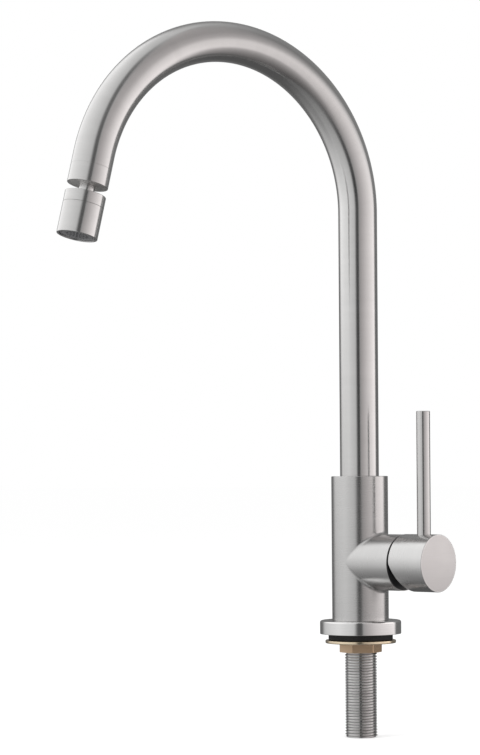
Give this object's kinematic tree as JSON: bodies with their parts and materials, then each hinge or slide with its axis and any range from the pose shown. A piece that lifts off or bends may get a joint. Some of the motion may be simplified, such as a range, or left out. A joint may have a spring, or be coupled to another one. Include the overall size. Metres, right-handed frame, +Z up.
{
  "type": "kitchen tap",
  "caption": "Kitchen tap with a swivelling gooseneck spout, a tilting aerator head, a side lever on a disc cartridge, a round flange, a threaded shank, washer and lock nut.",
  "frame": {"origin": "on the axis of the body and shank, at the sink deck, which the gasket's underside rests on", "axes": "+Z up along the body's axis; +X out along the lever's boss; at rest the spout points 13.1 degrees from -Y towards -X"},
  "size_m": [0.1247, 0.2445, 0.4516],
  "materials": {
    "brushed_stainless": "brushed",
    "turned_stainless": "as turned",
    "raw_brass": "satin",
    "black_rubber": "matt",
    "black_plastic": "matt",
    "white_acetal": "satin",
    "grey_plastic": "satin",
    "white_ceramic": "lapped ceramic"
  },
  "bodies": {
    "tap_body": {"deck_gasket": "black_rubber", "base_flange": "brushed_stainless", "threaded_shank": "turned_stainless", "shank_seal": "black_rubber", "body_shell": "brushed_stainless", "retaining_screw": "turned_stainless", "thrust_ring": "white_acetal", "upper_glide_ring": "white_acetal", "port_seals": "black_rubber", "cartridge_base": "white_acetal", "fixed_disc": "white_ceramic", "cartridge_housing": "white_acetal", "cartridge_nut": "raw_brass", "boss_trim_ring": "black_plastic"},
    "spout": {"spout_bush": "raw_brass", "spout_o_rings": "black_rubber", "spout_tube": "brushed_stainless", "outlet_collar": "brushed_stainless", "stem_washer": "white_acetal", "stem_bush": "white_acetal", "stem_circlip": "turned_stainless"},
    "outlet_stem": {"swivel_stem": "brushed_stainless", "stem_o_ring": "black_rubber"},
    "outlet_head": {"head_cap": "brushed_stainless", "head_shell": "brushed_stainless", "upper_seat": "white_acetal", "lower_seat": "white_acetal", "ball_o_ring": "black_rubber", "aerator_washer": "black_rubber", "jet_plate": "grey_plastic", "aerator_housing": "grey_plastic", "outlet_grille": "grey_plastic"},
    "lever_drum": {"stem_carrier": "white_acetal", "pivot_pin": "turned_stainless", "carrier_o_ring": "black_rubber"},
    "lever": {"cartridge_stem": "turned_stainless", "lever_hub": "brushed_stainless", "lever_rod": "brushed_stainless", "hub_screw": "turned_stainless", "screw_plug": "black_plastic"},
    "valve_disc": {"moving_disc": "white_ceramic", "disc_carrier": "white_acetal"},
    "clamp_plate": {"clamp_washer": "raw_brass"},
    "nut": {"lock_nut": "raw_brass"}
  },
  "joints": [
    {"name": "spout_swivel", "type": "hinge", "parent": "tap_body", "child": "spout", "pos_m": [0, 0, 0.086], "axis": [0, 0, 1], "continuous": true},
    {"name": "head_swivel", "type": "hinge", "parent": "spout", "child": "outlet_stem", "pos_m": [-0.04683, -0.20125, 0.27067], "axis": [-0.0548, -0.2356, -0.9703], "continuous": true},
    {"name": "head_tilt", "type": "hinge", "parent": "outlet_stem", "child": "outlet_head", "pos_m": [-0.04683, -0.20125, 0.27067], "axis": [-0.974, 0.2267, 0], "range_deg": [-15, 15]},
    {"name": "lever_turn", "type": "hinge", "parent": "tap_body", "child": "lever_drum", "pos_m": [0.033, 0, 0.0503], "axis": [1, 0, 0], "range_deg": [-45, 45]},
    {"name": "lever_tilt", "type": "hinge", "parent": "lever_drum", "child": "lever", "pos_m": [0.033, 0, 0.0503], "axis": [0, 1, 0], "range_deg": [0, 24]},
    {"name": "disc_slide", "type": "slide", "parent": "lever_drum", "child": "valve_disc", "axis": [0, 0, 1], "range_m": [0, 0.0052]},
    {"name": "nut_travel", "type": "slide", "parent": "tap_body", "child": "clamp_plate", "axis": [0, 0, -1], "range_m": [0, 0.04]},
    {"name": "nut_turn", "type": "hinge", "parent": "clamp_plate", "child": "nut", "pos_m": [0, 0, -0.005], "axis": [0, 0, -1], "range_deg": [0, 7920]}
  ],
  "couplings": [
    {"joint": "disc_slide", "follows": "lever_tilt", "m_per_rad": 0.012118},
    {"joint": "nut_travel", "follows": "nut_turn", "m_per_rad": 0.00028871}
  ]
}
